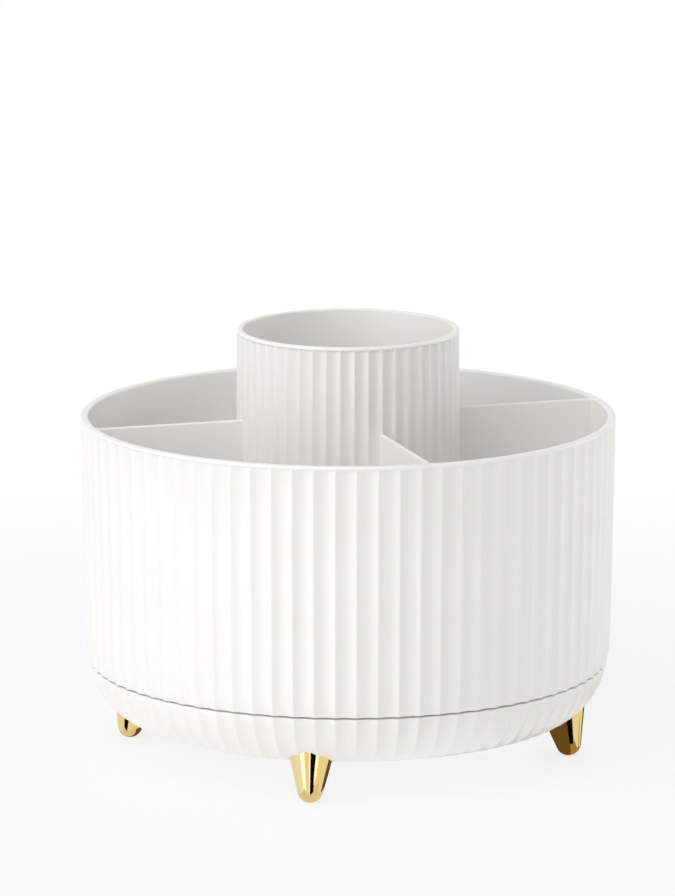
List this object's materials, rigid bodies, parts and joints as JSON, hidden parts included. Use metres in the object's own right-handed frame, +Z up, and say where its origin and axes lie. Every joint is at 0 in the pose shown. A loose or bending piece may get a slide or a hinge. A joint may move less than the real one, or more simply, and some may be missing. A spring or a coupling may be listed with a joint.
{
  "type": "rotating makeup organizer",
  "caption": "Round white fluted tub with straight dividers around a taller brush cup, turning on a shallow fluted dish with splayed gold feet.",
  "frame": {"origin": "on the table plane, under the axis that the tub turns about", "axes": "+Z up along the turning axis; the dividers lie on the X and Y axes; -Y is the front, seen from which the front foot is 27 degrees to the left"},
  "size_m": [0.21, 0.21, 0.1686],
  "materials": {
    "white_abs": "injection moulded white plastic with a soft gloss",
    "gold_plate": "polished gold plating",
    "zinc_plated_steel": "bright zinc plated",
    "natural_acetal": "natural moulded, low friction",
    "grey_nylon": "moulded grey"
  },
  "bodies": {
    "base": {"base_dish": "white_abs", "foot_front": "gold_plate", "foot_right": "gold_plate", "foot_back": "gold_plate", "foot_left": "gold_plate", "foot_screws": "zinc_plated_steel", "lower_race": "natural_acetal", "lower_race_screws": "zinc_plated_steel", "pivot_bush": "natural_acetal", "pivot_cap": "white_abs"},
    "carousel": {"tub": "white_abs", "brush_cup": "white_abs", "cup_screws": "zinc_plated_steel", "upper_race": "natural_acetal", "upper_race_screws": "zinc_plated_steel", "pivot_bolt": "zinc_plated_steel", "pivot_washer": "zinc_plated_steel", "pivot_nut": "zinc_plated_steel"},
    "cage": {"ball_cage": "grey_nylon", "bearing_balls": "zinc_plated_steel"}
  },
  "joints": [
    {"name": "carousel_turn", "type": "hinge", "parent": "base", "child": "carousel", "pos_m": [0, 0, 0.031], "axis": [0, 0, 1], "continuous": true},
    {"name": "cage_turn", "type": "hinge", "parent": "base", "child": "cage", "pos_m": [0, 0, 0.033], "axis": [0, 0, 1], "continuous": true}
  ],
  "couplings": [
    {"joint": "cage_turn", "follows": "carousel_turn", "ratio": 0.5}
  ]
}
